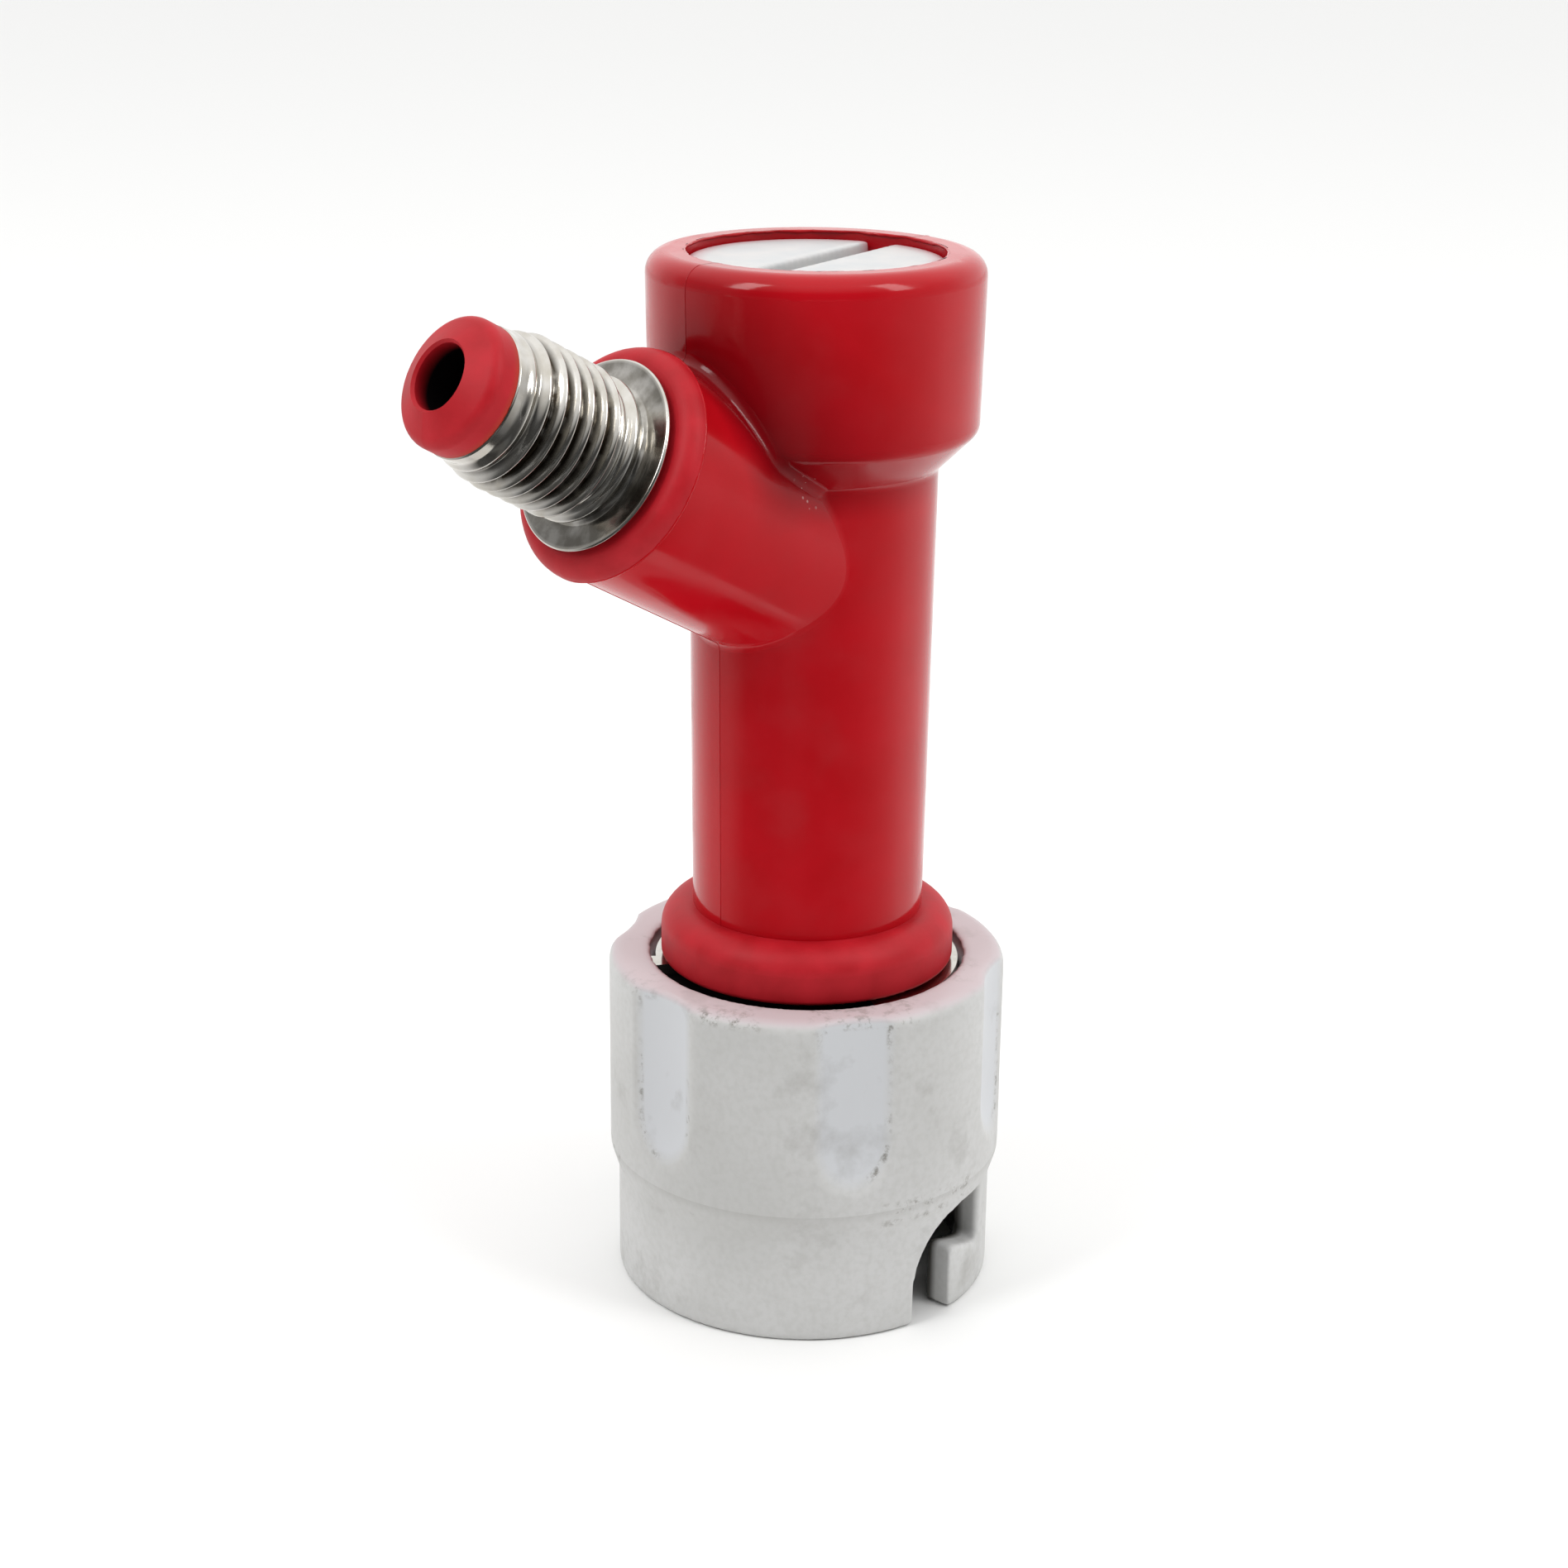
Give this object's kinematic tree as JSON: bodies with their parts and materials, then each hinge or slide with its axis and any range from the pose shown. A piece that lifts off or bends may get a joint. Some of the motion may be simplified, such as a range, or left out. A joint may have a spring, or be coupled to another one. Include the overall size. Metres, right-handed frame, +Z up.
{
  "type": "keg gas disconnect",
  "caption": "Twist-lock keg gas disconnect: moulded red body with a threaded steel side outlet, sprung valve and turning fluted grey collar with bayonet slots.",
  "frame": {"origin": "centre of the locking collar's bottom face, on the axis of the keg post's socket", "axes": "+Z up the main bore to the screw cap, +X the way the side outlet leaves the body"},
  "size_m": [0.0504, 0.0308, 0.081],
  "materials": {
    "gloss_shell": "glossy moulded red",
    "matte_core": "matte moulded red",
    "stainless_sleeve": "rolled bright stainless steel",
    "cap_nylon": "milky white moulded nylon",
    "seal_rubber": "black rubber",
    "spring_steel": "drawn stainless wire",
    "plunger_acetal": "white moulded acetal",
    "collar_nylon": "light warm grey glass-filled nylon",
    "ring_steel": "stamped stainless steel"
  },
  "bodies": {
    "body": {"body_shell": "gloss_shell", "body_core": "matte_core", "threaded_sleeve": "stainless_sleeve", "screw_cap": "cap_nylon", "cap_seal": "seal_rubber", "valve_spring": "spring_steel"},
    "plunger": {"valve_plunger": "plunger_acetal", "plunger_seal": "seal_rubber"},
    "collar": {"locking_collar": "collar_nylon", "retaining_ring": "ring_steel"}
  },
  "joints": [
    {"name": "collar_turn", "type": "hinge", "parent": "body", "child": "collar", "pos_m": [0, 0, 0], "axis": [0, 0, 1], "continuous": true},
    {"name": "plunger_slide", "type": "slide", "parent": "body", "child": "plunger", "axis": [0, 0, 1], "range_m": [0, 0.0035], "stiffness_N_per_m": 1500, "springref_m": -0.006, "deforming": ["valve_spring"]}
  ]
}
